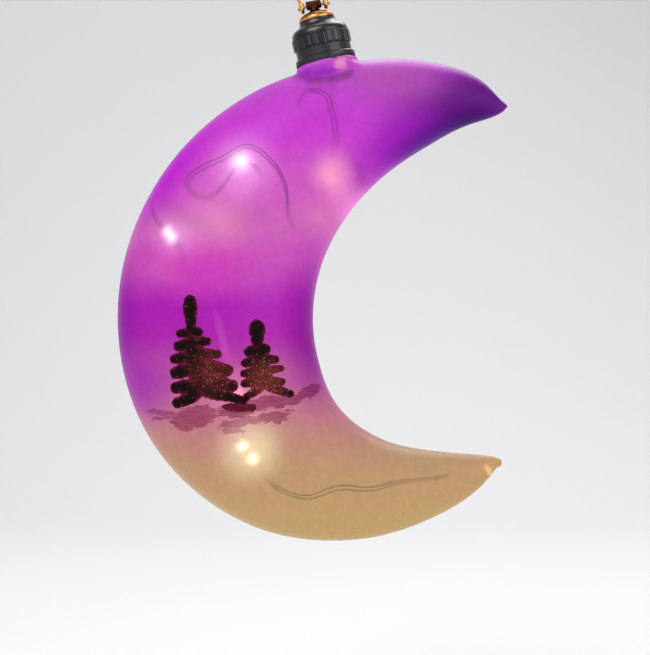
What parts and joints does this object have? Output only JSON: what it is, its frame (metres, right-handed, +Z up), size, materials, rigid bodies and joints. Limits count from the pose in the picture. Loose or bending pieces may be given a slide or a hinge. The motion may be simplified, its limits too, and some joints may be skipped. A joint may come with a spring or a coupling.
{
  "type": "hanging crescent moon ornament light",
  "caption": "Hollow frosted crescent moon with a string of micro lamps inside, a screw cap with button cells in its neck and a hinged wire loop to hang it by.",
  "frame": {"origin": "hook point, at the top inside of the hanging loop, where a hook bears", "axes": "+Z up, the moon hangs below; front with the painted pines faces -Y; the horns point to +X"},
  "size_m": [0.113, 0.0466, 0.173],
  "materials": {
    "frosted_glass": "frosted tinted glass, violet above and cream below, lit from inside",
    "seal_rubber": "black rubber",
    "glue": "set cream glue",
    "pine_paint": "dark brown raised paint with copper glitter",
    "cup_plastic": "satin black moulded plastic",
    "gland_plastic": "natural nylon",
    "board": "green solder mask",
    "resistor": "black chip resistor",
    "spring_steel": "bright steel wire",
    "cell_steel": "pressed steel can",
    "contact_brass": "bright brass",
    "switch_plastic": "ivory moulded plastic",
    "lamp_wire": "enamelled copper and silver twin wire",
    "lamp_resin": "clear resin drop round a lit warm white lamp",
    "cap_plastic": "glossy black plastic",
    "warm_brass": "warm antique brass"
  },
  "bodies": {
    "bail": {"hanging_loop": "warm_brass"},
    "cap": {"screw_cap": "cap_plastic", "finial": "warm_brass", "finial_nut": "contact_brass", "loop_pin": "spring_steel"},
    "contact": {"top_contact": "contact_brass"},
    "moon": {"moon_shell": "frosted_glass", "neck_seal": "seal_rubber", "glue_bead": "glue", "tall_pine": "pine_paint", "short_pine": "pine_paint", "battery_cup": "cup_plastic", "wire_gland": "gland_plastic", "driver_board": "board", "limiting_resistor": "resistor", "cell_spring": "spring_steel", "lower_cell": "cell_steel", "upper_cell": "cell_steel", "contact_strip": "contact_brass", "switch_leaf": "contact_brass", "cup_gasket": "seal_rubber", "light_wire": "lamp_wire", "led_bead_1": "lamp_resin", "led_bead_2": "lamp_resin", "led_bead_3": "lamp_resin", "led_bead_4": "lamp_resin", "led_bead_5": "lamp_resin", "led_bead_6": "lamp_resin", "led_bead_7": "lamp_resin", "led_bead_8": "lamp_resin"},
    "switch": {"switch_knob": "switch_plastic"}
  },
  "joints": [
    {"name": "loop_swing", "type": "hinge", "parent": "bail", "child": "cap", "pos_m": [0.0036, 0, -0.01622], "axis": [0.9763, 0, 0.2164], "range_deg": [-85, 85]},
    {"name": "cap_turn", "type": "hinge", "parent": "cap", "child": "contact", "pos_m": [0.00455, 0, -0.02052], "axis": [0.2164, 0, -0.9763], "range_deg": [0, 1080]},
    {"name": "cap_lift", "type": "slide", "parent": "contact", "child": "moon", "axis": [0.2164, 0, -0.9763], "range_m": [0, 0.0046]},
    {"name": "switch_slide", "type": "slide", "parent": "moon", "child": "switch", "axis": [-0.9763, 0, -0.2164], "range_m": [0, 0.0024]}
  ],
  "couplings": [
    {"joint": "cap_lift", "follows": "cap_turn", "m_per_rad": 0.00023873}
  ]
}
